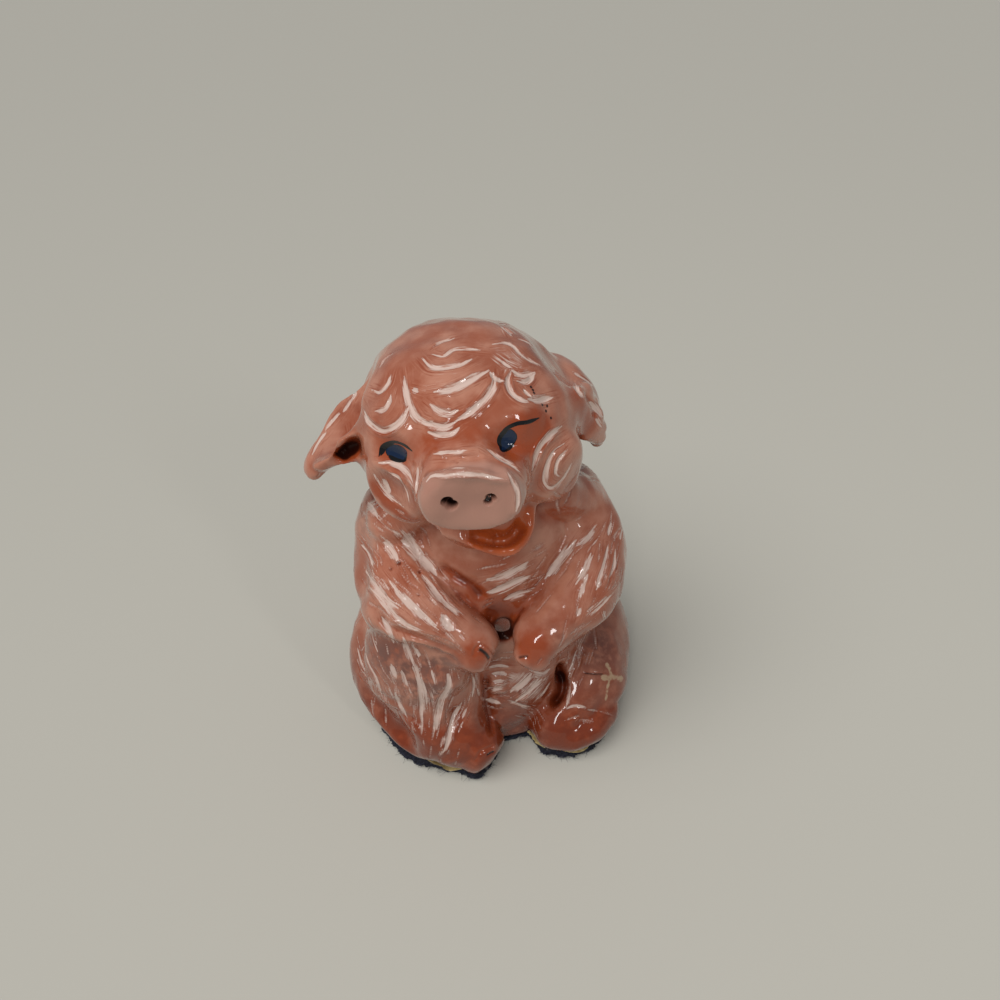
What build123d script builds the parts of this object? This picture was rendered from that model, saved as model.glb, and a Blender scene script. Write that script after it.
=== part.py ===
"""Seated pig figurine, hand built in clay: a hollow torso and head with limbs, ears, snout and tail
luted on with slip, closed below by a slab and standing on a glued felt pad."""

import os
from math import copysign, cos, radians, sin, sqrt

from build123d import *

# Sizes are in millimetres and angles in degrees. The pig faces -Y, so its own right side is -X.
# Bearings turn from the front (-Y) towards the pig's left (+X).

# Felt pad, glue and the slip that joins the clay
felt_thickness = 1.6
felt_margin = 0.9
glue_thickness = 0.4
glue_margin = 0.3
slip_gap = 0.15
clay_wall = 4.5

# Torso: the outside of the clay at the seat and at four steps above it
slab_thickness = 4.0
vent_radius = 4.0
base_width = 57.0
base_depth = 54.0
belly_rise = 18.0
belly_width = 61.0
belly_depth = 57.0
chest_rise = 27.0
chest_width = 53.0
chest_depth = 47.0
shoulder_rise = 17.0
shoulder_width = 44.0
shoulder_depth = 41.0
neck_rise = 12.0
neck_width = 27.0
neck_depth = 26.0
neck_shift_x = -3.5
neck_shift_y = -4.0

# Head: a rounded pot that sits over the neck, turned and tipped a little
head_radius = 24.5
head_half_height = 21.0
head_lift = 14.0
head_shift_x = -4.0
head_shift_y = -3.0
head_turn = -4.0
head_tip = -2.0

# Snout: a tapered plug that ends in a flat disc with two nostrils
snout_bearing = -4.0
snout_length = 7.0
snout_bury = 9.0
snout_root_width = 27.0
snout_root_height = 21.0
snout_width = 18.8
snout_height = 15.0
snout_rise = 0.5
snout_edge = 1.6
nostril_radius = 1.0
nostril_depth = 4.0
nostril_spacing = 8.4

# Lower jaw: a lip that stands out below the snout, scooped along its top
jaw_bearing = 4.0
jaw_radius = 8.0
jaw_half_width = 10.5
jaw_drop = 13.0
jaw_stand = -3.0
mouth_radius = 5.0
mouth_half_width = 8.0

# Cheek pads
cheek_radius = 8.5
cheek_half_height = 9.5
right_cheek_bearing = -43.0
left_cheek_bearing = 50.0
cheek_drop = 4.0
cheek_stand = -4.5

# Ears: slabs that leave the head at the side and droop, as steps of stand-off from the head's
# widest ring and height above its centre
ear_root_width = 18.0
ear_width = 16.0
ear_tip_width = 9.0
ear_thickness = 6.0
ear_tip_thickness = 4.5
ear_twist = 25.0
ear_rim = 2.0
ear_hollow = 1.8
right_ear_bearing = -90.0
left_ear_bearing = 100.0
right_ear_path = [(-11.5, 9.0), (-3.5, 5.5), (2.5, -0.5), (8.0, -8.0)]
left_ear_path = [(-11.5, 7.5), (-3.0, 5.0), (4.0, -1.5), (6.5, -9.0)]

# Where the rings lie that round off a limb's ends, as shares of its end radius
limb_end_rings = (0.55, 0.88)

# Forelegs: rolled tapers from shoulder to trotter, as steps of drop below the shoulder, bearing
# and stand-off from the torso
foreleg_turn = -2.5
foreleg_path = [(4.0, 84.0, -3.5), (12.0, 64.0, -1.5), (16.0, 38.0, 3.0), (20.5, 14.5, 5.0)]
foreleg_shoulder_radius = 12.0
foreleg_elbow_radius = 12.5
foreleg_wrist_radius = 9.5
foreleg_trotter_radius = 6.5

# Hind legs: fat thighs that taper to a foot beside the belly, as steps of rise above the seat,
# bearing and stand-off from the torso
hind_leg_turn = 1.5
left_leg_tuck = 2.0
hind_leg_path = [
    (14.0, 125.0, -6.0),
    (14.5, 86.0, -4.5),
    (11.0, 50.0, 0.0),
    (8.0, 27.0, 3.0),
    (6.0, 21.0, 4.8),
]
hip_height = 32.0
hip_width = 26.0
thigh_height = 35.0
thigh_width = 28.0
knee_height = 27.0
knee_width = 26.0
ankle_height = 20.0
ankle_width = 20.0
toe_height = 16.0
toe_width = 15.0

# Tail: a coil pressed onto the back
tail_radius = 2.8
tail_taper = 1.0
tail_coil_radius = 6.0
tail_spiral = 2.5
tail_rise = 16.0
tail_turn = 270.0
tail_steps = 8

seat_height = felt_thickness + glue_thickness
slab_top = seat_height + slab_thickness
belly_height = seat_height + belly_rise
chest_height = belly_height + chest_rise
shoulder_height = chest_height + shoulder_rise
neck_height = shoulder_height + neck_rise
seat = Plane.XY.offset(seat_height)
right = -1
left = 1

torso_rings = [
    (seat_height, base_width / 2, base_depth / 2),
    (belly_height, belly_width / 2, belly_depth / 2),
    (chest_height, chest_width / 2, chest_depth / 2),
    (shoulder_height, shoulder_width / 2, shoulder_depth / 2),
    (neck_height, neck_width / 2, neck_depth / 2),
]


def torso_centre(height):
    """Centre of the torso at a height: it leans towards the neck above the belly."""
    lean = max(0.0, (height - belly_height) / (neck_height - belly_height))
    return Vector(neck_shift_x * lean, neck_shift_y * lean, height)


def on_torso(height, bearing, stand):
    """A point that stands off the torso's surface, between the two rings nearest its height."""
    for (low, low_x, low_y), (high, high_x, high_y) in zip(torso_rings, torso_rings[1:]):
        if height <= high:
            break
    share = (height - low) / (high - low)
    reach_x = low_x + (high_x - low_x) * share + stand
    reach_y = low_y + (high_y - low_y) * share + stand
    return torso_centre(height) + Vector(reach_x * sin(radians(bearing)), -reach_y * cos(radians(bearing)))


def torso_form(grow=0.0):
    """The torso and its slab as one solid form, grown or shrunk at its sides and top."""
    with BuildPart(mode=Mode.PRIVATE) as form:
        for height, half_width, half_depth in torso_rings:
            rise = grow if height == neck_height else 0.0
            with BuildSketch(Plane(torso_centre(height) + Vector(0, 0, rise))):
                Ellipse(half_width + grow, half_depth + grow)
        loft()
    return form.part


def pebble(frame, radius, half_length):
    """A ball drawn out along the frame's Z axis."""
    with BuildPart(mode=Mode.PRIVATE) as ball:
        Sphere(radius)
    return frame.location * scale(ball.part, by=(1, 1, half_length / radius), mode=Mode.PRIVATE)


def rolled_limb(points, heights, widths, upward, grow=0.0):
    """A limb of oval section along a line of points, rounded at both ends."""
    last = len(points) - 1
    steps = [points[min(i + 1, last)] - points[max(i - 1, 0)] for i in range(last + 1)]
    tangents = [step.normalized() for step in steps]
    rings = list(zip(points, tangents, heights, widths))
    for share in limb_end_rings:
        narrow = sqrt(1 - share * share)
        root = points[0] - tangents[0] * share * widths[0] / 2
        tip = points[last] + tangents[last] * share * widths[last] / 2
        rings.insert(0, (root, tangents[0], heights[0] * narrow, widths[0] * narrow))
        rings.append((tip, tangents[last], heights[last] * narrow, widths[last] * narrow))
    with BuildPart(mode=Mode.PRIVATE) as form:
        for point, tangent, height, width in rings:
            with BuildSketch(Plane(point, x_dir=upward, z_dir=tangent)):
                Ellipse(height / 2 + grow, width / 2 + grow)
        loft()
    return form.part


head_centre = torso_centre(neck_height) + Vector(head_shift_x, head_shift_y, head_lift)
head_place = Location(tuple(head_centre), (0, head_tip, head_turn))


def on_head(bearing, reach, height, turn=(0, 0, 0)):
    """A plane at a bearing, a reach from the head's axis and a height above the head's centre."""
    return Plane(head_place * Location((0, 0, 0), (0, 0, bearing)) * Location((0, -reach, height), turn))


def head_reach(height):
    """How far the head's surface is from its axis at a height above its centre."""
    return head_radius * sqrt(1 - (height / head_half_height) ** 2)


def head_form(grow=0.0):
    """The head as one solid form, grown or shrunk all round."""
    return pebble(Plane(head_place), head_radius + grow, head_half_height + grow)


def cheek_form(bearing, grow=0.0):
    """A cheek pad, half sunk in the side of the face."""
    frame = on_head(bearing, head_reach(cheek_drop) + cheek_stand, -cheek_drop)
    return pebble(frame, cheek_radius + grow, cheek_half_height + grow)


def snout_form(grow=0.0):
    """The snout as a tapered plug from inside the head to its flat disc."""
    with BuildPart(mode=Mode.PRIVATE) as form:
        with BuildSketch(on_head(snout_bearing, head_radius - snout_bury, snout_rise, (90, 0, 0))):
            Ellipse(snout_root_width / 2 + grow, snout_root_height / 2 + grow)
        with BuildSketch(on_head(snout_bearing, head_radius + snout_length + grow, snout_rise, (90, 0, 0))):
            Ellipse(snout_width / 2 + grow, snout_height / 2 + grow)
        loft()
    return form.part


def hind_leg_form(side, grow=0.0):
    """A hind leg from the hip round the thigh to the toe."""
    tuck = left_leg_tuck if side == left else 0.0
    points = [
        on_torso(seat_height + rise, hind_leg_turn + side * bearing, stand - tuck)
        for rise, bearing, stand in hind_leg_path
    ]
    heights = [hip_height, thigh_height, knee_height, ankle_height, toe_height]
    widths = [hip_width, thigh_width, knee_width, ankle_width, toe_width]
    return rolled_limb(points, heights, widths, (0, 0, 1), grow)


def foreleg_form(side, grow=0.0):
    """A foreleg from the shoulder round the elbow to the trotter."""
    points = [
        on_torso(shoulder_height - drop, foreleg_turn + side * bearing, stand)
        for drop, bearing, stand in foreleg_path
    ]
    radii = [foreleg_shoulder_radius, foreleg_elbow_radius, foreleg_wrist_radius, foreleg_trotter_radius]
    widths = [2 * radius for radius in radii]
    return rolled_limb(points, widths, widths, (side, 0, 0), grow)


def ear_form(bearing, path, widths, thicknesses, inset=0.0):
    """An ear along its path, or its hollow when it is set in towards the head."""
    points = [
        on_head(bearing, head_radius + stand - inset, height - inset).origin
        for stand, height in path
    ]
    outward_and_up = on_head(bearing - copysign(ear_twist, bearing), 1, 1).origin - head_centre
    return rolled_limb(points, thicknesses, widths, outward_and_up)


torso_cut = torso_form(slip_gap)
head_cut = head_form(slip_gap)
snout_cut = snout_form(slip_gap)
right_cheek_cut = cheek_form(right_cheek_bearing, slip_gap)
left_cheek_cut = cheek_form(left_cheek_bearing, slip_gap)

# Torso shell: a hollow pot, open where it sits on the slab, with a vent up into the head
with BuildPart() as torso_shell:
    add(torso_form())
    add(torso_form(-clay_wall), mode=Mode.SUBTRACT)
    split(bisect_by=Plane.XY.offset(slab_top), keep=Keep.TOP)
    with BuildSketch(Plane(torso_centre(neck_height))):
        Circle(vent_radius)
    extrude(amount=-2 * clay_wall, mode=Mode.SUBTRACT)

# Base slab: closes the torso, with a vent that lets the steam out in the kiln
with BuildPart() as base_slab:
    add(torso_form())
    split(bisect_by=Plane.XY.offset(slab_top), keep=Keep.BOTTOM)
    with Locations((0, 0, slab_top)):
        Hole(vent_radius, depth=slab_thickness)

# Hind legs: pressed against the sides of the torso and cut flat at the seat
hind_legs = []
for side in (right, left):
    with BuildPart() as hind_leg:
        add(hind_leg_form(side))
        split(bisect_by=seat, keep=Keep.TOP)
        add(torso_cut, mode=Mode.SUBTRACT)
    hind_legs.append(hind_leg)
right_hind_leg, left_hind_leg = hind_legs

# Head shell: a hollow pot whose underside is cut to sit over the neck
with BuildPart() as head_shell:
    add(head_form())
    add(head_form(-clay_wall), mode=Mode.SUBTRACT)
    add(torso_cut, mode=Mode.SUBTRACT)

# Cheeks: pads of clay smoothed onto the face
cheeks = []
for bearing in (right_cheek_bearing, left_cheek_bearing):
    with BuildPart() as cheek:
        add(cheek_form(bearing))
        add(head_cut, mode=Mode.SUBTRACT)
        add(torso_cut, mode=Mode.SUBTRACT)
    cheeks.append(cheek)
right_cheek, left_cheek = cheeks

# Snout: luted to the face, its disc edge rounded and pierced for the nostrils
with BuildPart() as snout:
    add(snout_form())
    fillet(snout.faces().sort_by(Axis.Y)[0].edges(), radius=snout_edge)
    with Locations(on_head(snout_bearing, head_radius + snout_length, snout_rise, (90, 0, 0))):
        with GridLocations(nostril_spacing, 0, 2, 1):
            Hole(nostril_radius, depth=nostril_depth)
    add(head_cut, mode=Mode.SUBTRACT)
    add(right_cheek_cut, mode=Mode.SUBTRACT)
    add(left_cheek_cut, mode=Mode.SUBTRACT)

# Lower jaw: a lip below the snout, scooped out where the mouth stands open
with BuildPart() as lower_jaw:
    lip_reach = head_reach(jaw_drop) + jaw_stand
    add(pebble(on_head(jaw_bearing, lip_reach, -jaw_drop, (0, 90, 0)), jaw_radius, jaw_half_width))
    mouth = on_head(jaw_bearing, lip_reach + jaw_radius, jaw_radius - jaw_drop, (0, 90, 0))
    add(pebble(mouth, mouth_radius, mouth_half_width), mode=Mode.SUBTRACT)
    add(head_cut, mode=Mode.SUBTRACT)
    add(torso_cut, mode=Mode.SUBTRACT)
    add(snout_cut, mode=Mode.SUBTRACT)
    add(right_cheek_cut, mode=Mode.SUBTRACT)
    add(left_cheek_cut, mode=Mode.SUBTRACT)

# Ears: flattened slabs, hollowed underneath with the thumb
ears = []
ear_widths = [ear_root_width, ear_root_width, ear_width, ear_tip_width]
ear_thicknesses = [ear_thickness, ear_thickness, ear_thickness, ear_tip_thickness]
hollow_widths = [width - 2 * ear_rim for width in ear_widths]
hollow_thicknesses = [2 * ear_hollow] * len(ear_widths)
hollow_inset = ear_thickness / 2 / sqrt(2)
for bearing, path in ((right_ear_bearing, right_ear_path), (left_ear_bearing, left_ear_path)):
    with BuildPart() as ear:
        add(ear_form(bearing, path, ear_widths, ear_thicknesses))
        hollow = ear_form(bearing, path, hollow_widths, hollow_thicknesses, hollow_inset)
        add(hollow, mode=Mode.SUBTRACT)
        add(head_cut, mode=Mode.SUBTRACT)
    ears.append(ear)
right_ear, left_ear = ears

# Forelegs: rolled arms laid over the chest, the belly and the thighs
forelegs = []
for side in (right, left):
    with BuildPart() as foreleg:
        add(foreleg_form(side))
        add(torso_cut, mode=Mode.SUBTRACT)
        add(head_cut, mode=Mode.SUBTRACT)
        add(hind_leg_form(side, slip_gap), mode=Mode.SUBTRACT)
        add(right_cheek_cut, mode=Mode.SUBTRACT)
        add(left_cheek_cut, mode=Mode.SUBTRACT)
    forelegs.append(foreleg)
right_foreleg, left_foreleg = forelegs

# Tail: a tapered coil pressed flat onto the middle of the back
with BuildPart() as tail:
    back = on_torso(seat_height + tail_rise, 180, 0)
    coil = Plane(back, x_dir=(0, 0, -1), z_dir=(0, 1, 0))
    curl = []
    widths = []
    for share in [step / tail_steps for step in range(tail_steps + 1)]:
        reach = tail_coil_radius - tail_spiral * share
        angle = radians(tail_turn * share)
        curl.append(coil.from_local_coords((reach * cos(angle), reach * sin(angle), 0)))
        widths.append(2 * (tail_radius - tail_taper * share))
    add(rolled_limb(curl, widths, widths, (0, 1, 0)))
    add(torso_cut, mode=Mode.SUBTRACT)


def footprint(margin):
    """The outline of the torso and the hind legs at the seat, with a margin outside it."""
    forms = (torso_form(margin), hind_leg_form(right, margin), hind_leg_form(left, margin))
    soles = [section(form, section_by=seat) for form in forms]
    with BuildSketch(seat, mode=Mode.PRIVATE) as outline:
        add(soles)
    return outline.sketch


glue_outline = footprint(glue_margin)
felt_outline = Pos(0, 0, -glue_thickness) * footprint(felt_margin)

# Glue film: brushed over the underside and squeezed out a little at the edge
with BuildPart() as glue_film:
    extrude(glue_outline, amount=glue_thickness, dir=(0, 0, -1))

# Felt pad: cut by hand a little outside the base
with BuildPart() as felt_pad:
    extrude(felt_outline, amount=felt_thickness, dir=(0, 0, -1))

pieces = {
    "torso_shell": torso_shell,
    "base_slab": base_slab,
    "head_shell": head_shell,
    "snout": snout,
    "lower_jaw": lower_jaw,
    "right_cheek": right_cheek,
    "left_cheek": left_cheek,
    "right_ear": right_ear,
    "left_ear": left_ear,
    "right_foreleg": right_foreleg,
    "left_foreleg": left_foreleg,
    "right_hind_leg": right_hind_leg,
    "left_hind_leg": left_hind_leg,
    "tail": tail,
    "glue_film": glue_film,
    "felt_pad": felt_pad,
}
os.makedirs("parts", exist_ok=True)
for label, piece in pieces.items():
    piece.part.label = label
    export_step(piece.part, f"parts/{label}.step")
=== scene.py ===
import math

import bmesh
import bpy
import numpy as np
from mathutils import Matrix, Vector
from mathutils.bvhtree import BVHTree
from mathutils.kdtree import KDTree


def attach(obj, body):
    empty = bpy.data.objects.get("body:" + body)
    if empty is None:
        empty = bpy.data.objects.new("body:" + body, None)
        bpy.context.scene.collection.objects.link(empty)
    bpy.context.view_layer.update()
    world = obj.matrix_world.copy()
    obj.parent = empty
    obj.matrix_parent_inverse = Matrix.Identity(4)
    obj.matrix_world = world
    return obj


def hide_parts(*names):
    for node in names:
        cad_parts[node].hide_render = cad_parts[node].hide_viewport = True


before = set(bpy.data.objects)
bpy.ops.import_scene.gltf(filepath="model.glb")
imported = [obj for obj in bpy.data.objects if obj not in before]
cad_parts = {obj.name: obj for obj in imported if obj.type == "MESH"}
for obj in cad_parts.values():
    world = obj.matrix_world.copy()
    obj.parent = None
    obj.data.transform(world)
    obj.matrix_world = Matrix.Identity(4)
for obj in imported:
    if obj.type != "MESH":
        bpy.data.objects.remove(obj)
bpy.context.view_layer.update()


# The view: the camera stands in front of the figure, above it and a little to its right, and looks
# down at it. The same lens leads a mark read off the photograph back to its place on the clay.
camera_place = Vector((-0.03181, -0.14712, 0.175))
camera_turn = (
    Matrix.Rotation(math.radians(-13), 3, "Z")
    @ Matrix.Rotation(math.radians(53), 3, "X")
    @ Matrix.Rotation(math.radians(0.8), 3, "Z")
)
focal_pixels = 755
photo_middle = 500

camera_data = bpy.data.cameras.new("camera")
camera_data.sensor_width = 36
camera_data.lens = 36 * focal_pixels / 1000
camera_data.clip_start = 0.01
camera = bpy.data.objects.new("camera", camera_data)
camera.matrix_world = Matrix.Translation(camera_place) @ camera_turn.to_4x4()
bpy.context.scene.collection.objects.link(camera)
bpy.context.scene.camera = camera


def sight_line(pixel):
    """Unit direction from the camera through a pixel of the photograph."""
    across = (pixel[0] - photo_middle) / focal_pixels
    down = (pixel[1] - photo_middle) / focal_pixels
    return (camera_turn @ Vector((across, -down, -1))).normalized()


# The soft figure: every clay piece of the model, luted to the next with slip and wiped over with a wet
# thumb. The copies overlap by a hair, and a fine voxel skin closes them into one piece of clay.
clay_slots = {
    "torso_shell": "glazed_clay",
    "base_slab": "slab_clay",
    "head_shell": "glazed_clay",
    "snout": "snout_clay",
    "lower_jaw": "glazed_clay",
    "right_cheek": "glazed_clay",
    "left_cheek": "glazed_clay",
    "right_ear": "glazed_clay",
    "left_ear": "glazed_clay",
    "right_foreleg": "glazed_clay",
    "left_foreleg": "glazed_clay",
    "right_hind_leg": "glazed_clay",
    "left_hind_leg": "glazed_clay",
    "tail": "glazed_clay",
}
clay_names = list(clay_slots)
slip_overlap = 0.12e-3
clay_grain = 0.72e-3
vent_plug_radius = 5.5e-3
vent_plug_place = (0, 0, 3.6e-3)
vent_plug_depth = 2.8e-3

figure_form = bmesh.new()
piece_starts = []
for name in clay_names:
    piece_form = bmesh.new()
    piece_form.from_mesh(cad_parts[name].data)
    bmesh.ops.remove_doubles(piece_form, verts=piece_form.verts, dist=1e-6)
    piece_form.normal_update()
    for vert in piece_form.verts:
        vert.co += vert.normal * slip_overlap
    piece_copy = bpy.data.meshes.new("copy")
    piece_form.to_mesh(piece_copy)
    piece_form.free()
    piece_starts.append(len(figure_form.faces))
    figure_form.from_mesh(piece_copy)
    bpy.data.meshes.remove(piece_copy)
piece_skin = BVHTree.FromBMesh(figure_form)
bmesh.ops.create_cone(
    figure_form, cap_ends=True, segments=32, radius1=vent_plug_radius, radius2=vent_plug_radius,
    depth=vent_plug_depth, matrix=Matrix.Translation(vent_plug_place),
)
roll_form = bmesh.new()


def add_roll(places, radii, steps=8):
    """Presses a roll of clay onto the figure, through places in millimetres, with a radius at each."""
    for start, end, start_radius, end_radius in zip(places, places[1:], radii, radii[1:]):
        for step in range(steps):
            share = step / (steps - 1)
            place = Vector(start).lerp(Vector(end), share) / 1000
            radius = (start_radius + (end_radius - start_radius) * share) / 1000
            bmesh.ops.create_icosphere(
                roll_form, subdivisions=2, radius=radius, matrix=Matrix.Translation(place)
            )


def at_depth(pixel, depth):
    """The place that a pixel shows at a distance in front of the figure's middle, in millimetres."""
    ray = sight_line(pixel)
    return (camera_place + ray * ((depth / 1000 - camera_place.y) / ray.y)) * 1000


ear_and_neck_rolls = [
    ([(-24, -5, 98), (-31.5, -9, 91)], [4.2, 2.6]),
    ([(10, -3, 99), (17, -7, 92)], [4.2, 2.8]),
    ([(-19, -12, 73), (-25, -9, 66)], [6, 7]),
    ([(11, -14, 73), (20, -8, 64)], [6, 7]),
]
for places, radii in ear_and_neck_rolls:
    add_roll(places, radii)
lip_roll = [
    ((444, 532), -27.5, 1.0), ((462, 538), -30.5, 1.3), ((482, 545), -32.5, 1.5), ((500, 550), -33, 1.6),
    ((512, 548), -32.5, 1.6), ((522, 539), -31, 1.6), ((527, 526), -29, 1.7), ((529, 512), -27, 1.6),
    ((530, 502), -25, 1.4),
]
add_roll([at_depth(pixel, depth) for pixel, depth, _ in lip_roll], [radius for _, _, radius in lip_roll])


def at_height(pixel, height):
    """The place that a pixel shows at a height above the table, in millimetres."""
    ray = sight_line(pixel)
    return (camera_place + ray * ((height / 1000 - camera_place.z) / ray.z)) * 1000


shin_roll = [((464, 672), -25.5, 4), ((466, 695), -27, 4), ((468, 715), -29.5, 4), ((471, 735), -31.5, 4.5)]
add_roll([at_depth(pixel, depth) for pixel, depth, _ in shin_roll], [radius for _, _, radius in shin_roll])
right_toe_roll = [((455, 742), 8.5, 6.5), ((477, 748), 7.7, 5.5)]
left_toe_roll = [((552, 731), 7, 4.8), ((572, 735), 6.6, 4.4), ((590, 725), 7.5, 4.8), ((600, 710), 8.5, 5.2)]
for toe_roll in (right_toe_roll, left_toe_roll):
    add_roll([at_height(pixel, height) for pixel, height, _ in toe_roll], [radius for _, _, radius in toe_roll])
left_ear_flap = [
    [((584, 392), -9.0, 2.4), ((570, 390), -14.5, 2.2)], [((589, 404), -9.0, 2.4), ((573, 402), -15.5, 2.2)],
    [((594, 415), -9.2, 2.3), ((576, 413), -15.5, 2.2)], [((597, 427), -8.6, 2.2), ((580, 425), -14.0, 2.2)],
    [((597, 436), -8.0, 2.1), ((585, 434), -12.0, 2.1)],
]
right_ear_rims = [
    [((350, 423), -11.0, 1.3), ((343, 440), -12.6, 1.5), ((334, 455), -11.8, 1.5), ((322, 469), -9.4, 1.6)],
    [((325, 471), -9.6, 1.2), ((342, 463), -12.0, 1.1), ((358, 456), -13.8, 1.0)],
]
for rib in left_ear_flap + right_ear_rims:
    add_roll([at_depth(pixel, depth) for pixel, depth, _ in rib], [radius for _, _, radius in rib])
thigh_fill = [
    [((380, 637), -18.0, 5.2), ((392, 648), -21.8, 6.0), ((410, 656), -23.6, 6.0), ((430, 663), -25.9, 6.0),
     ((450, 670), -28.0, 5.5)],
    [((380, 657), -18.5, 5.2), ((392, 668), -22.0, 6.0), ((412, 680), -24.5, 5.5), ((432, 688), -26.5, 5.0),
     ((452, 690), -28.0, 4.5)],
    [((380, 678), -18.5, 4.5), ((396, 690), -22.5, 4.5), ((416, 700), -26.0, 4.0), ((436, 710), -29.0, 4.0)],
]
left_trotter_end = [[((526, 653), -33.5, 3.4), ((537, 657), -34.0, 3.5)]]
for rib in thigh_fill + left_trotter_end:
    add_roll([at_depth(pixel, depth) for pixel, depth, _ in rib], [radius for _, _, radius in rib], 4)
thigh_side_rolls = [
    ([(-25, -2, 34), (-26, -9, 35), (-27.5, -15, 36), (-26, -20, 37)], [6, 7, 6.5, 6]),
    ([(-27.5, -5, 30), (-28.5, -12, 30), (-28.5, -17, 29)], [6, 6.5, 5.5]),
    ([(-28, -6, 24), (-29, -13, 24), (-29, -18, 23)], [5.5, 5.5, 5]),
]
for places, radii in thigh_side_rolls:
    add_roll(places, radii, 4)
nostril_plugs = [(-7.4, -36.6, 91), (-15.8, -35.4, 90.5)]
for plug in nostril_plugs:
    add_roll([plug, plug], [2.0, 2.0], 2)

figure_mesh = bpy.data.meshes.new("figure")
roll_form.to_mesh(figure_mesh)
roll_form.free()
figure_form.from_mesh(figure_mesh)
figure_form.to_mesh(figure_mesh)
figure_form.free()
figure = bpy.data.objects.new("figure", figure_mesh)
bpy.context.scene.collection.objects.link(figure)
skin = figure.modifiers.new("skin", "REMESH")
skin.mode = "VOXEL"
skin.voxel_size = clay_grain
figure.data = bpy.data.meshes.new_from_object(
    figure.evaluated_get(bpy.context.evaluated_depsgraph_get())
)
figure.modifiers.clear()


class Clay:
    """The soft figure in the maker's hands: its points in millimetres, and the tools that shape them."""

    cell = 3.0

    def __init__(self, thing):
        self.thing = thing
        count = len(thing.data.vertices)
        places = np.empty(count * 3)
        thing.data.vertices.foreach_get("co", places)
        self.points = places.reshape(-1, 3) * 1000
        pairs = np.empty(len(thing.data.edges) * 2, np.int64)
        thing.data.edges.foreach_get("vertices", pairs)
        self.ends = pairs.reshape(-1, 2).T
        self.neighbours = np.bincount(pairs, minlength=count)
        self.set_down()

    def set_down(self):
        """Writes the points back to the mesh, and takes its normals and a skin to look for places on."""
        mesh = self.thing.data
        mesh.vertices.foreach_set("co", (self.points / 1000).ravel())
        mesh.update()
        normals = np.empty(len(self.points) * 3, np.float32)
        mesh.vertices.foreach_get("normal", normals)
        self.normals = normals.reshape(-1, 3).astype(float)
        self.skin = BVHTree.FromObject(self.thing, bpy.context.evaluated_depsgraph_get())
        self.corner = self.points.min(0)
        cells = ((self.points - self.corner) / self.cell).astype(int)
        self.counts = cells.max(0) + 1
        keys = np.ravel_multi_index(cells.T, self.counts)
        self.by_cell = np.argsort(keys, kind="stable")
        self.cell_starts = np.searchsorted(keys[self.by_cell], np.arange(self.counts.prod() + 1))

    def within(self, low, high):
        """Points in the cells that a box touches."""
        first = np.maximum(((low - self.corner) / self.cell).astype(int), 0)
        last = np.minimum(((high - self.corner) / self.cell).astype(int), self.counts - 1)
        if (first > last).any():
            return np.zeros(0, int)
        box = np.meshgrid(*(np.arange(a, b + 1) for a, b in zip(first, last)), indexing="ij")
        keys = np.ravel_multi_index([part.ravel() for part in box], self.counts)
        return np.concatenate([self.by_cell[self.cell_starts[key]:self.cell_starts[key + 1]] for key in keys])

    def spread(self, values):
        """The mean of each point's neighbours."""
        one, other = self.ends
        total = np.bincount(one, values[other], len(values)) + np.bincount(other, values[one], len(values))
        return total / self.neighbours

    def blur(self, values, steps):
        for _ in range(steps):
            values = 0.5 * values + 0.5 * self.spread(values)
        return values

    def relax(self, weight, steps):
        """Wipes the clay smooth, by a weight from 0 to 1 at each point."""
        for _ in range(steps):
            mean = np.stack([self.spread(self.points[:, axis]) for axis in range(3)], 1)
            self.points += (mean - self.points) * np.reshape(weight, (-1, 1)) * 0.5

    def seen(self, pixel):
        """The place on the clay that a pixel of the photograph shows, in millimetres, and its normal."""
        place, normal, _, _ = self.skin.ray_cast(camera_place, sight_line(pixel))
        return (None, None) if place is None else (np.array(place) * 1000, np.array(normal))

    def near(self, place, reach):
        """Points within reach of a place, and how far off they are as a share of the reach."""
        close = self.within(place - reach, place + reach)
        share = np.linalg.norm(self.points[close] - place, axis=1) / reach
        return close[share < 1], share[share < 1]

    def press(self, pixel, reach, height):
        """A thumb or a bead of clay at a pixel: raises the clay there, or lowers it below zero."""
        place, normal = self.seen(pixel)
        if place is not None:
            close, share = self.near(place, reach)
            facing = np.clip(self.normals[close] @ normal, 0, 1)
            self.points[close] += np.outer((1 - share**2) ** 2 * height * facing, normal)

    def along(self, line, reach):
        """Points within reach of a line, how far off they are in millimetres and the share of it they lie at."""
        parts = [line[start:start + 9] for start in range(0, len(line), 8)]
        close = np.unique(np.concatenate([self.within(part.min(0) - reach, part.max(0) + reach) for part in parts]))
        gaps = np.linalg.norm(self.points[close, None] - line[None], axis=2)
        nearest = gaps.argmin(1)
        distance = gaps[np.arange(len(close)), nearest]
        kept = distance < reach
        return close[kept], distance[kept], nearest[kept] / max(1, len(line) - 1)

    def pieces(self):
        """For each point, the number of the clay piece it belongs to."""
        found = [piece_skin.find_nearest(place)[2] for place in self.points / 1000]
        return np.searchsorted(piece_starts, found, side="right") - 1


def smooth_run(pixels, spacing=1.0):
    """A smooth run of pixels through a few chosen ones."""
    knots = np.array(pixels, float)
    knots = np.vstack([2 * knots[0] - knots[1], knots, 2 * knots[-1] - knots[-2]])
    run = []
    for a, b, c, d in zip(knots, knots[1:], knots[2:], knots[3:]):
        steps = max(2, int(np.linalg.norm(c - b) / spacing))
        t = np.linspace(0, 1, steps, endpoint=False)[:, None]
        run.append(
            0.5 * (2 * b + (c - a) * t + (2 * a - 5 * b + 4 * c - d) * t**2 + (3 * b - a - 3 * c + d) * t**3)
        )
    return np.vstack(run + [knots[-2][None]])


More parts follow.
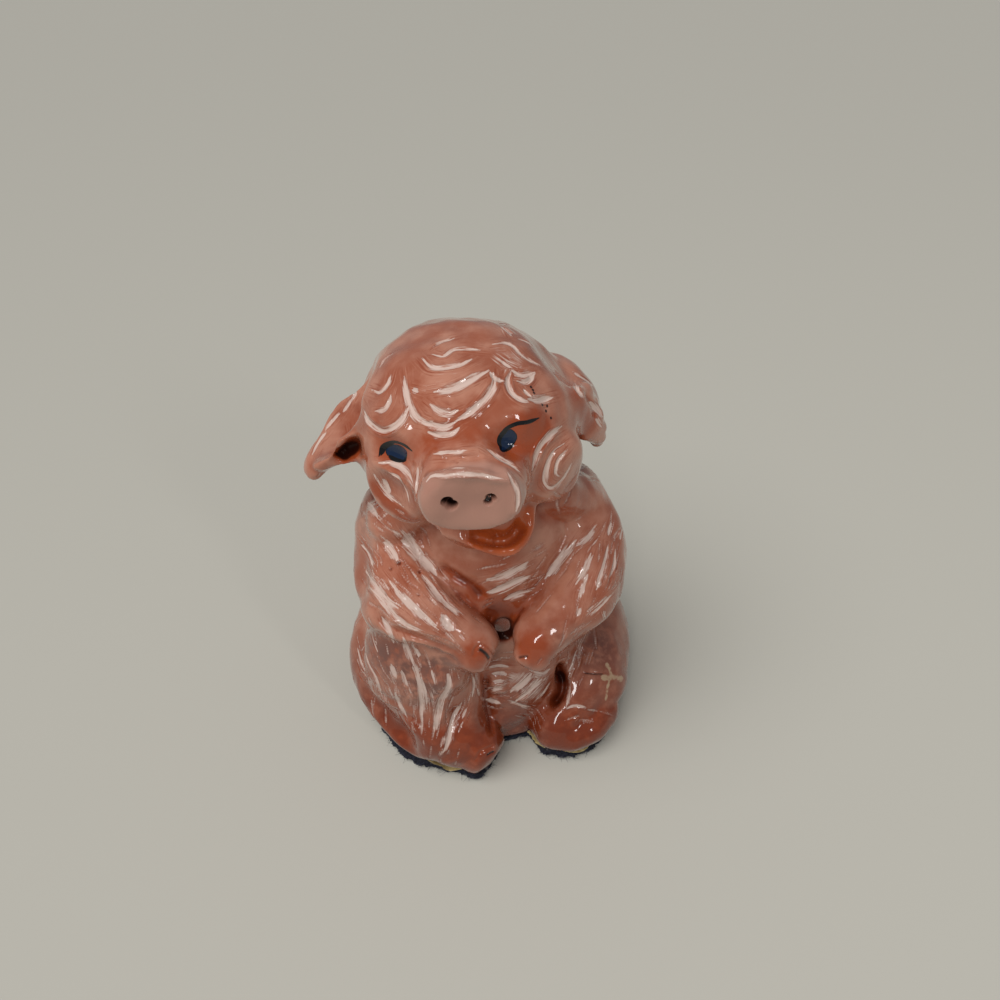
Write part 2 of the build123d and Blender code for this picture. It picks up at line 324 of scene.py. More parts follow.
def photo_line(clay, pixels, jump=3.0):
    """The line on the clay under a smooth run of pixels, broken off where it would leap to another piece."""
    line = []
    for pixel in smooth_run(pixels):
        place, _ = clay.seen(pixel)
        if place is None or (line and np.linalg.norm(place - line[-1]) > jump):
            if len(line) > 3:
                break
            line = []
            continue
        line.append(place)
    return np.array(line) if len(line) > 1 else None


clay = Clay(figure)
piece_of = clay.pieces()
clay.relax(np.ones(len(clay.points)), 2)
soft_joins = {"head_shell", "right_cheek", "left_cheek", "right_ear", "left_ear", "tail"}
is_soft = np.array([name in soft_joins for name in clay_names])
one, other = clay.ends
crossing = piece_of[one] != piece_of[other]
soft_crossing = crossing & is_soft[piece_of[one]] & is_soft[piece_of[other]]
join = np.zeros(len(clay.points))
join[one[crossing]] = 0.2
join[one[soft_crossing]] = 1
for _ in range(5):
    join = np.maximum(join, clay.spread(join))
clay.relax(np.clip(clay.blur(join, 3), 0, 1), 12)
clay.set_down()
steady = np.stack([clay.blur((piece_of == number).astype(float), 4) for number in range(len(clay_names))])
piece_of = steady.argmax(0)
corner_points = np.zeros(len(figure.data.loops), np.int32)
figure.data.loops.foreach_get("vertex_index", corner_points)
corner_starts = np.zeros(len(figure.data.polygons), np.int32)
figure.data.polygons.foreach_get("loop_start", corner_starts)
for name in clay_names:
    figure.data.materials.append(bpy.data.materials.new(name + "_join"))
figure.data.polygons.foreach_set("material_index", piece_of[corner_points[corner_starts]].astype(np.int32))

# The modelling of the face and trunk: thumbed and tooled while the clay is soft, with hollows for the
# eyes, brows over them, folds across the bridge of the snout, a mouth pressed open between the snout and
# the lip, and deep creases where the limbs lie against the belly.
seat = 2.0
wiped_bands = [
    (7.0, (364, 624), (380, 641), (395, 652), (415, 661), (435, 669), (455, 676)),
    (7.0, (368, 645), (380, 660), (395, 671), (415, 681), (435, 689), (452, 694)),
    (6.0, (374, 668), (392, 684), (412, 696), (432, 706)),
    (4.0, (470, 672), (478, 695), (484, 720)),
    (5.0, (574, 394), (582, 408), (590, 424)),
    (8.5, (367, 630), (368, 648), (371, 684), (387, 702), (410, 722), (419, 742)),
    (7.0, (367, 632), (368, 650), (371, 684), (387, 702), (410, 722), (419, 742)),
    (3.5, (356, 417), (342, 426), (330, 440), (319, 456)),
]
nudges = [
    ((316, 476), 12.0, (-0.6, 0, 1.6)),
    ((353, 384), 9.0, (2.4, 0, -3.0)), ((338, 406), 10.0, (3.2, 0, -3.8)), ((326, 430), 8.5, (2.4, 0, -2.4)),
    ((334, 420), 8.0, (1.4, -0.5, -1.4)),
    ((560, 366), 10.0, (-0.6, -1.0, -1.6)),
    ((380, 496), 8.0, (1.8, 0.4, 1.4)), ((386, 506), 8.0, (2.4, 0.5, 2.4)), ((373, 488), 6.0, (1.2, 0.2, 0.6)),
    ((573, 480), 8.0, (-1.7, 0.3, 1.1)), ((465, 529), 9.0, (0, 0.3, 0.6)),
    ((354, 558), 10.0, (2.8, 0, 0)), ((358, 590), 8.0, (1.6, 0, 0)), ((371, 621), 7.0, (-1.5, 0, 0)),
    ((386, 726), 9.0, (2.2, 1.8, 0)), ((368, 700), 8.0, (1.4, 0.8, 0)), ((405, 745), 7.0, (1.0, 1.6, 0)),
]
for pixel, reach, move in nudges:
    close, share = clay.near(clay.seen(pixel)[0], reach)
    clay.points[close] += np.outer((1 - share**2) ** 2, move)
for pixel in ((377, 630), (388, 640), (400, 646), (413, 650), (427, 654), (440, 659), (452, 664)):
    clay.press(pixel, 3.8, -1.5)
for reach, *pixels in wiped_bands:
    line = photo_line(clay, pixels)
    close, distance, _ = clay.along(line, reach)
    wiped = np.zeros(len(clay.points))
    wiped[close] = (1 - (distance / reach) ** 2) ** 2
    clay.relax(wiped, 70)
wiped = np.zeros(len(clay.points))
close, share = clay.near(np.array((-32.0, -13.0, 28.0)), 13)
wiped[close] = (1 - share**2) ** 2
clay.relax(wiped, 140)
clay.set_down()
thumb_presses = [
    ((396, 454), 5.0, -1.3), ((508, 444), 5.5, -1.3),
    ((398, 432), 6.0, 0.9), ((520, 414), 7.0, 1.0),
    ((456, 440), 7.0, 0.7), ((450, 400), 13.0, 1.0), ((385, 415), 8.0, 0.5),
    ((470, 500), 9.0, -0.6),
    ((504, 630), 4.0, -3.6), ((504, 628), 2.6, -2.4), ((500, 612), 5.0, -0.8),
    ((530, 688), 8.0, 1.4), ((498, 684), 4.5, 1.2), ((520, 725), 6.0, -0.8),
    ((392, 562), 10.0, 0.5), ((590, 560), 11.0, 0.6),
    ((440, 690), 9.0, 0.8), ((590, 690), 12.0, 0.6),
    ((619, 690), 7.0, 0.9), ((388, 724), 7.0, -1.6), ((374, 706), 7.0, -1.2), ((404, 738), 6.0, -1.4),
]
for pixel, reach, height in thumb_presses:
    clay.press(pixel, reach, height)
clay.set_down()
deep_creases = [
    (2.2, 1.6, (374, 606), (389, 626), (417, 638), (433, 644), (451, 652), (468, 663)),
    (1.8, 1.5, (437, 565), (448, 571), (460, 579), (473, 588), (485, 600)),
    (2.0, 4.6, (561, 662), (561, 672), (562, 684), (559, 696), (549, 708)),
    (1.8, 1.6, (486, 672), (487, 695), (490, 715), (493, 738)),
    (2.4, 3.0, (467, 536), (480, 537), (495, 541), (508, 540), (517, 531), (521, 519)),
    (1.5, 0.8, (432, 468), (442, 467), (459, 466), (476, 466), (494, 470), (504, 474)),
    (1.4, 0.8, (440, 458), (454, 457), (470, 457), (484, 458)),
    (1.6, 1.0, (420, 465), (415, 482), (417, 502), (424, 520)),
    (2.4, 3.6, (361, 444), (353, 447), (346, 452), (338, 460)),
    (1.2, 0.9, (585, 392), (592, 404), (597, 418)),
]
for reach, depth, *pixels in deep_creases:
    line = photo_line(clay, pixels)
    close, distance, share = clay.along(line, reach)
    fade = np.clip(np.minimum(share, 1 - share) * 6 + 0.15, 0, 1)
    inward = np.array(sight_line(pixels[len(pixels) // 2]))
    push = 0.6 * inward - 0.4 * clay.normals[close]
    clay.points[close] += push * (depth * fade * (1 - (distance / reach) ** 2) ** 2)[:, None]
raised_lines = [
    (1.5, 0.55, (425, 483), (432, 476), (444, 475), (462, 474), (481, 475), (494, 478), (505, 480)),
    (1.4, 0.45, (507, 473), (513, 482), (517, 491), (518, 501), (516, 512)),
    (1.3, 0.40, (443, 470), (455, 468), (468, 468), (488, 469)),
    (1.3, 0.35, (433, 454), (443, 453), (455, 452), (467, 450), (482, 450)),
    (1.3, 0.50, (488, 668), (500, 666), (510, 667)),
    (1.2, 0.50, (490, 676), (502, 675), (508, 676)),
    (1.2, 0.50, (491, 685), (504, 683)),
    (1.3, 0.55, (489, 693), (503, 691)),
    (1.4, 0.55, (487, 700), (500, 702)),
    (1.6, 0.50, (380, 616), (400, 628), (425, 637), (448, 647)),
]
for reach, height, *pixels in raised_lines:
    line = photo_line(clay, pixels)
    close, distance, _ = clay.along(line, reach)
    clay.points[close] += clay.normals[close] * (height * (1 - (distance / reach) ** 2) ** 2)[:, None]
wobble = np.random.default_rng(11)
for size, height in ((16, 0.30), (8, 0.18), (4.2, 0.09)):
    waves = wobble.normal(size=(14, 3))
    waves *= 2 * math.pi / size / np.linalg.norm(waves, axis=1, keepdims=True)
    phases = wobble.uniform(0, 2 * math.pi, 14)
    swell = np.sin(clay.points @ waves.T + phases).mean(1) * math.sqrt(14)
    above_seat = np.clip((clay.points[:, 2] - 3) / 5, 0, 1)
    clay.points += clay.normals * (swell * height * 0.6 * above_seat)[:, None]
clay.relax(np.full(len(clay.points), 0.5), 1)
clay.points[:, 2] = np.maximum(clay.points[:, 2], seat)
clay.set_down()

# The fine skin: the mesh is halved over the face, again at the eyes, and then all over, so that a line
# drawn with a fine brush or a needle keeps its edge.
face_middle, _ = clay.seen((462, 440))
eye_middles = [clay.seen((396, 452))[0], clay.seen((512, 438))[0]]
fine_form = bmesh.new()
fine_form.from_mesh(figure.data)
foot_form = fine_form.copy()
for middles, reach in (([face_middle], 20), (eye_middles, 4.6)):
    near_edges = [
        edge for edge in fine_form.edges
        if any((edge.verts[0].co * 1000 - Vector(middle)).length < reach for middle in middles)
    ]
    bmesh.ops.subdivide_edges(fine_form, edges=near_edges, cuts=1, use_grid_fill=True)
fine_form.to_mesh(figure.data)
fine_form.free()
finer = figure.modifiers.new("finer", "SUBSURF")
finer.levels = finer.render_levels = 1
figure.data = bpy.data.meshes.new_from_object(
    figure.evaluated_get(bpy.context.evaluated_depsgraph_get())
)
figure.modifiers.clear()
clay = Clay(figure)
face_pieces = np.zeros(len(figure.data.polygons), np.int32)
figure.data.polygons.foreach_get("material_index", face_pieces)
face_corners = np.zeros(len(figure.data.polygons), np.int32)
figure.data.polygons.foreach_get("loop_total", face_corners)
corner_points = np.zeros(len(figure.data.loops), np.int32)
figure.data.loops.foreach_get("vertex_index", corner_points)
piece_of = np.zeros(len(clay.points), np.int32)
piece_of[corner_points] = np.repeat(face_pieces, face_corners)

# The carved coat: hair cut into the clay with a loop tool, in curls on the head and long strokes on the
# limbs, and filled with white slip. Each row is the half-width in millimetres and the pixels it runs by.
fringe = [
    (0.75, (404, 376), (406, 390), (410, 406), (418, 418), (431, 424)),
    (0.80, (493, 373), (494, 384), (486, 398), (471, 412), (456, 421)),
    (0.80, (422, 423), (433, 425), (444, 427), (456, 422)),
    (0.70, (428, 432), (439, 435), (451, 434), (459, 428)),
    (0.70, (430, 404), (439, 411), (450, 413), (458, 410)),
    (0.85, (434, 392), (451, 389), (469, 381), (489, 370)),
    (0.60, (422, 358), (431, 367), (443, 368), (459, 365), (472, 359)),
    (0.80, (363, 408), (369, 422), (382, 431), (394, 427), (404, 417), (408, 406)),
    (0.60, (375, 411), (384, 410), (389, 403), (391, 395)),
    (0.55, (372, 390), (380, 392), (388, 384), (391, 375)),
    (0.55, (379, 368), (385, 359), (393, 353)),
    (0.50, (432, 354), (443, 356), (453, 350), (463, 349), (480, 350)),
    (0.50, (433, 347), (441, 342), (455, 338)),
    (0.60, (412, 390), (418, 392)),
]
forelock = [
    (0.55, (493, 344), (504, 343), (513, 346), (521, 354), (531, 361), (543, 367)),
    (0.90, (501, 326), (508, 331), (511, 335)),
    (0.50, (499, 324), (512, 325), (520, 331)),
    (0.45, (516, 338), (527, 342), (535, 349)),
    (0.75, (511, 371), (508, 382), (511, 392), (521, 400), (529, 402)),
    (0.75, (512, 371), (523, 375), (535, 372)),
    (0.60, (517, 381), (527, 382), (535, 373)),
    (0.80, (528, 399), (541, 400), (553, 397)),
    (0.60, (490, 372), (496, 379), (504, 381)),
    (0.50, (523, 389), (527, 393), (531, 397)),
    (0.45, (501, 361), (506, 365), (512, 368)),
]
ear_marks = [
    (0.60, (351, 400), (359, 388), (366, 379), (372, 367)),
    (0.45, (342, 414), (348, 405), (353, 396)),
    (0.45, (324, 431), (333, 420), (341, 411)),
    (0.45, (312, 455), (318, 443), (327, 431)),
    (0.80, (574, 383), (578, 391), (584, 397)),
    (0.80, (589, 402), (598, 410), (604, 419)),
    (0.50, (571, 371), (586, 380), (596, 389)),
    (0.55, (596, 418), (602, 427)),
]
cheek_marks = [
    (0.90, (562, 426), (551, 435), (541, 447), (535, 461), (532, 471)),
    (0.60, (565, 443), (553, 453), (546, 469), (545, 482), (552, 488), (562, 480), (572, 463)),
    (0.45, (568, 449), (558, 461), (556, 474), (562, 478)),
    (0.75, (379, 463), (392, 463), (404, 469), (412, 482), (415, 501)),
    (0.55, (373, 473), (382, 488), (392, 498), (404, 507)),
    (0.45, (388, 472), (398, 478), (406, 490), (409, 502)),
    (0.75, (383, 478), (390, 494)),
]
bridge_and_snout_marks = [
    (0.45, (433, 454), (443, 453), (455, 452), (467, 450)),
    (0.70, (487, 449), (494, 454), (503, 460), (512, 465), (520, 472)),
    (0.45, (418, 466), (417, 480), (416, 494)),
    (0.55, (426, 482), (432, 476), (444, 475), (462, 474), (481, 475), (494, 478), (503, 479)),
    (0.40, (443, 470), (455, 468), (467, 468)),
    (0.50, (508, 473), (513, 482), (517, 491), (518, 501), (516, 512)),
]
foreleg_marks = [
    (1.45, (402, 540), (417, 554), (430, 567), (436, 575)),
    (1.15, (422, 575), (436, 592), (447, 604), (459, 615)),
    (1.05, (384, 542), (392, 551), (398, 561)),
    (0.95, (366, 571), (375, 586), (386, 600), (398, 609)),
    (0.80, (369, 586), (384, 603), (403, 623), (425, 632)),
    (0.70, (388, 578), (401, 596), (420, 615), (438, 630)),
    (0.60, (397, 588), (413, 604), (426, 617), (436, 626)),
    (1.25, (442, 615), (447, 623), (453, 630)),
    (0.55, (361, 544), (369, 555), (374, 569)),
    (0.80, (367, 502), (372, 510), (378, 518)),
    (0.90, (402, 530), (414, 545), (422, 560)),
    (1.05, (576, 540), (564, 556), (553, 569), (545, 579)),
    (0.65, (608, 544), (606, 560), (601, 575), (596, 590)),
    (0.50, (616, 548), (614, 565), (608, 582)),
    (0.75, (591, 553), (585, 569), (576, 584)),
    (0.50, (614, 592), (602, 605), (591, 615)),
    (0.50, (580, 607), (577, 617)),
    (0.45, (588, 573), (583, 586), (581, 597)),
    (0.80, (594, 529), (587, 538), (577, 546)),
    (0.55, (621, 511), (623, 525), (620, 540)),
    (0.45, (612, 521), (608, 536)),
]
hind_leg_marks = [
    (0.75, (403, 637), (409, 653), (413, 665)),
    (0.85, (414, 647), (419, 657)),
    (0.90, (411, 655), (417, 674), (421, 692), (422, 722)),
    (0.75, (382, 617), (388, 628), (394, 644)),
    (0.60, (365, 651), (369, 665), (376, 678), (381, 692)),
    (0.75, (391, 664), (396, 678)),
    (0.75, (395, 693), (400, 705), (407, 718)),
    (0.60, (401, 670), (407, 686)),
    (1.10, (448, 674), (449, 686), (442, 699), (438, 713), (436, 730)),
    (1.00, (461, 703), (453, 720), (448, 741), (445, 751)),
    (0.50, (432, 670), (436, 686)),
    (0.50, (472, 670), (474, 686), (472, 697)),
    (0.50, (467, 708), (462, 718)),
    (0.50, (357, 647), (360, 659), (365, 670)),
    (0.45, (371, 632), (374, 643), (378, 653)),
    (0.50, (420, 674), (426, 693), (428, 708)),
    (0.55, (604, 611), (608, 626), (610, 642)),
    (0.50, (614, 603), (618, 617), (621, 630)),
    (0.45, (577, 649), (572, 665), (568, 674)),
    (0.45, (566, 709), (575, 706), (587, 708)),
    (0.45, (570, 685), (568, 697), (566, 708)),
]
chest_and_belly_marks = [
    (1.15, (487, 580), (499, 578), (512, 572), (528, 563)),
    (1.05, (487, 593), (503, 588), (518, 581), (530, 576)),
    (0.95, (504, 600), (516, 595), (529, 591)),
    (0.60, (488, 668), (499, 666), (509, 667)),
    (0.55, (491, 674), (501, 673), (507, 675)),
    (0.60, (493, 682), (503, 681)),
    (0.60, (491, 690), (503, 688)),
    (0.90, (487, 699), (493, 701), (500, 703)),
    (0.70, (510, 693), (522, 684), (532, 674)),
    (0.75, (513, 703), (528, 693), (543, 678)),
    (0.60, (506, 700), (520, 705), (531, 708)),
    (0.55, (533, 672), (543, 674), (550, 669)),
    (0.55, (533, 703), (543, 693), (550, 682)),
]
coat_marks = (
    fringe + forelock + ear_marks + cheek_marks + bridge_and_snout_marks + foreleg_marks
    + hind_leg_marks + chest_and_belly_marks
)
coat_lines = []
for half_width, *pixels in coat_marks:
    line = photo_line(clay, pixels)
    if line is not None:
        coat_lines.append((half_width, line))


def hair_run(start, heading, length, curl):
    """A stroke of the loop tool over the clay: starts at a place and follows a heading, curling as it goes."""
    place, line = Vector(start) / 1000, []
    heading = Vector(heading)
    for _ in range(int(length / 0.6)):
        place, normal, _, _ = clay.skin.find_nearest(place)
        heading = (heading - normal * heading.dot(normal)).normalized()
        heading.rotate(Matrix.Rotation(curl * 0.6, 3, normal))
        line.append(np.array(place) * 1000)
        place = place + heading * 0.6e-3
    return np.array(line)


def hidden_length(line):
    """How many of a stroke's first places the photograph doesn't show."""
    for number, place in enumerate(line / 1000):
        to_place = Vector(place) - camera_place
        distance = clay.skin.ray_cast(camera_place, to_place.normalized())[3]
        if distance is None or distance > to_place.length - 0.8e-3:
            return number
    return len(line)


hair = np.random.default_rng(5)
hair_gap = 2.7
away = ((clay.points / 1000 - np.array(camera_place)) * clay.normals).sum(1)
plain_pieces = [clay_names.index(name) for name in ("snout", "lower_jaw", "base_slab")]
hairy = ~np.isin(piece_of, plain_pieces) & (clay.points[:, 2] > 9)
out_of_sight = np.nonzero((away > 0.004) & hairy & (clay.normals[:, 2] > -0.6))[0]
laid = np.vstack([line for _, line in coat_lines])
for start in clay.points[hair.choice(out_of_sight, 1500, replace=False)]:
    on_head = start[2] > 80
    if np.linalg.norm(laid - start, axis=1).min() < hair_gap * (1.35 if on_head else 1):
        continue
    side = hair.choice((-1, 1))
    if on_head:
        heading, curl = (side * start[1], -side * start[0], -12), -side * hair.uniform(0.1, 0.2)
    else:
        heading, curl = (hair.normal(0, 0.22), hair.normal(0, 0.22), -1), hair.normal(0, 0.02)
    line = hair_run(start, heading, hair.uniform(7, 16) * (0.8 if on_head else 1), curl)
    line = line[:hidden_length(line)]
    if len(line) < 5:
        continue
    laid = np.vstack([laid, line])
    coat_lines.append((hair.uniform(0.35, 0.95), line))
coat_ends = np.cumsum([len(line) for _, line in coat_lines])
coat_headings = np.vstack([np.gradient(line, axis=0) for _, line in coat_lines])
coat_headings /= np.maximum(np.linalg.norm(coat_headings, axis=1, keepdims=True), 1e-9)
coat_map = KDTree(len(laid))
for number, place in enumerate(laid):
    coat_map.insert(place, number)
coat_map.balance()

fine_hairs = []
in_sight = np.nonzero((away < -0.02) & hairy & (clay.points[:, 2] < 82))[0]
for start in clay.points[hair.choice(in_sight, 620, replace=False)]:
    _, number, gap = coat_map.find(start)
    if gap < 4.5:
        line = hair_run(start, coat_headings[number], hair.uniform(3, 9), hair.normal(0, 0.02))
        fine_hairs.append((hair.uniform(0.3, 0.5), line))

slip = np.zeros(len(clay.points))
edging = np.zeros(len(clay.points))
for strength, strokes in ((1.0, coat_lines), (0.65, fine_hairs)):
    for half_width, line in strokes:
        close, distance, share = clay.along(line, half_width * 2.2)
        taper = np.clip(np.minimum(share, 1 - share) * 3 + 0.22, 0, 1)
        offset = distance / (half_width * taper)
        slip[close] = np.maximum(slip[close], strength * np.clip(1.25 - 0.75 * offset, 0, 1))
        edging[close] = np.maximum(edging[close], strength * np.clip(1.1 - 2.2 * abs(offset - 1.15), 0, 1))
        depth = (0.12 + 0.24 * half_width) * taper
        cut = -np.clip(1 - offset**2, 0, 1) ** 1.5 * depth
        burr = 0.3 * depth * np.clip(1 - ((offset - 1.35) / 0.5) ** 2, 0, 1)
        clay.points[close] += clay.normals[close] * (cut + burr)[:, None]

slip_washes = [
    ((518, 682), 4.5, 0.6), ((534, 690), 5.0, 0.6), ((540, 676), 4.0, 0.5), ((500, 690), 4.0, 0.45),
    ((440, 380), 5, 0.3), ((440, 700), 7, 0.3), ((372, 520), 6, 0.3), ((508, 360), 4.5, 0.5),
    ((522, 378), 3.5, 0.4), ((550, 600), 6, 0.3), ((430, 590), 6, 0.35), ((505, 330), 3, 0.5),
]
for pixel, reach, strength in slip_washes:
    close, share = clay.near(clay.seen(pixel)[0], reach)
    slip[close] = np.maximum(slip[close], strength * np.clip(2 - 2 * share, 0, 1))
nearest = np.array([coat_map.find(place)[1] for place in clay.points])
gap = np.linalg.norm(clay.points - laid[nearest], axis=1)
steepness = abs((coat_headings[nearest] * clay.normals).sum(1))
brushed = np.clip(1.4 - gap / 2.4, 0.15, 1) * np.clip((0.85 - steepness) / 0.3, 0, 1)
lean = np.cross(clay.normals, coat_headings[nearest])
across = ((clay.points - laid[nearest]) * lean).sum(1)
stroke_number = np.searchsorted(coat_ends, nearest, side="right")
lengthways = ((clay.points - laid[nearest]) * coat_headings[nearest]).sum(1) + nearest * 0.3 + stroke_number * 31.7

# The trotters, feet and small holes: a ring and a slit pressed into each trotter and foot with the edge
# of a tool, the nostrils and pin-holes pushed in with a point, and furrows left where rolls meet. The
# slits and holes are darkened with painted shade, the holes more the deeper they are.
furrows = [
    (0.42, 0.55, 0.9, (481, 650), (486, 654), (490, 659)),
    (0.36, 0.35, 0.7, (519, 658), (523, 657), (527, 657)),
    (0.26, 0.40, 1.0, (488, 755), (491, 753), (494, 752)),
    (0.35, 0.30, 0.2, (474, 655), (476, 648), (483, 645), (490, 649), (494, 656), (490, 664)),
    (0.35, 0.30, 0.2, (476, 760), (481, 752), (492, 747)),
    (0.25, 0.30, 0.8, (585, 673), (594, 674), (603, 674)),
]
holes = [
    ((399, 563), 0.55, 0.4), ((391, 569), 0.45, 0.3), ((420, 572), 0.45, 0.3), ((419, 595), 0.4, 0.3),
    ((385, 595), 0.4, 0.3), ((457, 462), 0.3, 0.2), ((453, 541), 0.3, 0.3),
    ((447, 502), 0.95, 2.2), ((451, 505), 1.0, 2.4), ((491, 498), 0.85, 2.2), ((488, 502), 0.7, 1.2),
]
# Painted shade for the slits and holes: each furrow row's third number is its strength, and deeper holes get
# darker.
dark = np.zeros(len(clay.points))
for half_width, depth, slit_shade, *pixels in furrows:
    line = photo_line(clay, pixels)
    close, distance, _ = clay.along(line, half_width * 2)
    notch = np.clip(1 - (distance / (half_width * 2)) ** 2, 0, 1) ** 2
    clay.points[close] -= clay.normals[close] * (notch * depth)[:, None]
    dark[close] = np.maximum(dark[close], slit_shade * notch)
for pixel, radius, depth in holes:
    place, normal = clay.seen(pixel)
    close, share = clay.near(place, radius * 1.35)
    notch = np.clip((1 - share) / 0.45, 0, 1)
    notch = notch * notch * (3 - 2 * notch)
    clay.points[close] -= np.outer(notch * depth, normal)
    dark[close] = np.maximum(dark[close], notch * min(1, 0.3 + depth / 2))

# The painted eyes: a blue iris and a black lid line laid on with a fine brush under the glaze, and the
# brown flecks that the brush dropped on the brow.
right_iris = [(385, 449), (391, 445), (399, 445), (406, 450), (407, 456), (403, 461), (394, 459), (387, 455)]
left_iris = [(499, 441), (502, 434), (510, 429), (516, 433), (517, 439), (512, 446), (504, 451), (500, 448)]
lid_lines = [
    (0.40, (379, 456), (383, 446), (394, 442), (404, 445), (412, 451)),
    (0.30, (388, 455), (396, 459), (404, 461), (407, 455)),
    (0.42, (500, 440), (505, 430), (516, 424), (528, 422), (539, 418)),
    (0.28, (499, 445), (502, 451), (509, 449), (515, 442)),
    (0.50, (501, 449), (499, 441), (502, 434), (508, 429)),
    (0.45, (381, 455), (384, 449), (388, 445), (394, 443)), (0.40, (389, 457), (396, 460), (403, 461)),
]
flecks = [(531, 387), (533, 390), (534, 393), (542, 405), (547, 406), (546, 411), (551, 418)]
iris = np.zeros(len(clay.points))
lid = np.zeros(len(clay.points))
for outline in (right_iris, left_iris):
    rim = photo_line(clay, outline + outline[:1])
    middle = rim.mean(0)
    close, _ = clay.near(middle, 5)
    to_rim = np.linalg.norm(clay.points[close, None] - rim[None], axis=2)
    reach = np.linalg.norm(rim - middle, axis=1)[to_rim.argmin(1)]
    inward = np.linalg.norm(clay.points[close] - middle, axis=1) < reach
    signed = to_rim.min(1) * np.where(inward, 1, -1)
    iris[close] = np.maximum(iris[close], np.clip(0.5 + signed / 0.6, 0, 1))
for half_width, *pixels in lid_lines:
    line = photo_line(clay, pixels)
    close, distance, share = clay.along(line, 1.2)
    taper = np.clip(np.minimum(share, 1 - share) * 4 + 0.35, 0, 1)
    lid[close] = np.maximum(lid[close], np.clip(0.5 + (half_width * taper - distance) / 0.5, 0, 1))
fleck = np.zeros(len(clay.points))
for pixel in flecks:
    place, _ = clay.seen(pixel)
    if place is not None:
        close, share = clay.near(place, 0.6)
        fleck[close] = np.maximum(fleck[close], 1 - share)

# The stains under the glaze: brown-orange that runs into every hollow, a lilac haze over the thighs,
# neck and belly, and one bare cross-shaped scrape on the left thigh. Painted shade goes with them: deep
# brown where the clay hides the sky in creases and holes, and a darkening of the lower body.
clay.set_down()
orange_washes = [
    ((512, 445), 8, 0.9), ((545, 430), 7, 0.6), ((470, 432), 7, 0.6), ((398, 455), 7, 0.7),
    ((430, 445), 7, 0.6), ((482, 535), 8, 1.0), ((520, 520), 6, 0.7), ((350, 450), 9, 0.7),
    ((500, 560), 9, 0.6), ((505, 620), 8, 0.7), ((470, 745), 9, 0.7), ((575, 735), 9, 0.7),
    ((585, 425), 9, 0.8), ((575, 395), 7, 0.5), ((560, 510), 9, 0.6), ((420, 740), 10, 0.6), ((545, 660), 8, 0.4), ((540, 480), 6, 0.5),
    ((500, 550), 6, 1.0), ((523, 535), 6, 1.0), ((515, 722), 6, 0.9), ((530, 425), 7, 0.7),
    ((395, 735), 8, 0.6), ((445, 750), 7, 0.6), ((590, 728), 8, 0.7), ((475, 655), 7, 0.8), ((530, 645), 7, 0.8),
    ((560, 620), 8, 0.4), ((505, 605), 7, 0.6), ((352, 447), 5, 0.8), ((456, 577), 4, 0.7), ((475, 592), 4, 0.8), ((385, 440), 6, 0.4), ((480, 600), 8, 0.4),
    ((376, 489), 3.2, 1.0), ((387, 502), 3.2, 1.0), ((399, 512), 3.2, 1.0), ((411, 519), 3.0, 0.8),
]
# Painted shade spots, added to the shade mask at the ear hollow, the hole between the trotters and the creases by
# the belly and chest.
deep_shade_spots = [((352, 448), 3.6, 0.6), ((504, 629), 3.4, 0.9), ((561, 676), 2.4, 0.5), ((345, 453), 2.6, 0.4), ((462, 581), 2.4, 0.3), ((476, 592), 2.6, 0.35)]
mouth_washes = [((482, 540), 5), ((500, 541), 6), ((510, 548), 5), ((520, 530), 6), ((527, 510), 4)]
lilac_washes = [
    ((372, 650), 11, 0.6), ((600, 660), 12, 0.6), ((525, 690), 9, 0.9),
    ((365, 520), 10, 0.4), ((560, 640), 9, 0.5), ((440, 690), 9, 0.6), ((520, 350), 9, 0.3),
    ((410, 680), 12, 0.7), ((440, 660), 9, 0.8), ((395, 655), 9, 0.7), ((598, 640), 10, 0.6), ((420, 700), 8, 0.5),
]
scrape_lines = [
    (0.75, (603, 678), (612, 677), (622, 679)),
    (0.55, (607, 665), (610, 671), (611, 678)),
    (0.45, (610, 679), (607, 689), (606, 699)),
]
smoothed = clay.points.copy()
for axis in range(3):
    smoothed[:, axis] = clay.blur(clay.points[:, axis], 24)
hollow = ((smoothed - clay.points) * clay.normals).sum(1)
pool = np.clip(hollow / 0.22, -1, 1)
# Painted shade: the share of sky that each point can't see, spread over the clay, darkens the colour in creases and
# holes.
sky = np.random.default_rng(3).normal(size=(10, 3))
sky /= np.linalg.norm(sky, axis=1, keepdims=True)
sampled = np.arange(0, len(clay.points), 7)
open_sky = np.zeros(len(clay.points))
known = np.zeros(len(clay.points))
for index in sampled:
    normal = Vector(clay.normals[index])
    place = Vector(clay.points[index]) / 1000 + normal * 2e-4
    free = 0
    for ray in sky:
        ray = Vector(ray)
        ray = (normal * 1.05 + ray).normalized()
        free += clay.skin.ray_cast(place, ray, 0.02)[0] is None
    open_sky[index] = free / len(sky)
    known[index] = 1
for _ in range(10):
    open_sky, known = clay.spread(open_sky) + open_sky, clay.spread(known) + known
shade = 1 - clay.blur(open_sky / np.maximum(known, 1e-9), 6)
mouth = np.zeros(len(clay.points))
for pixel, reach in mouth_washes:
    close, share = clay.near(clay.seen(pixel)[0], reach)
    mouth[close] = np.maximum(mouth[close], 1 - share**2)
mouth *= piece_of == clay_names.index("lower_jaw")
mouth = clay.blur(mouth, 4)
# Less painted shade inside the mouth.
shade *= 1 - 0.6 * mouth
for pixel, reach, strength in deep_shade_spots:
    close, share = clay.near(clay.seen(pixel)[0], reach)
    shade[close] += strength * (1 - share**2) ** 2
# The orange in the hollows is partly stain pooled there and partly painted shade taken from the shade mask.
orange = np.clip(0.55 * pool, 0, 1) + 0.9 * np.clip(shade - 0.25, 0, 1)
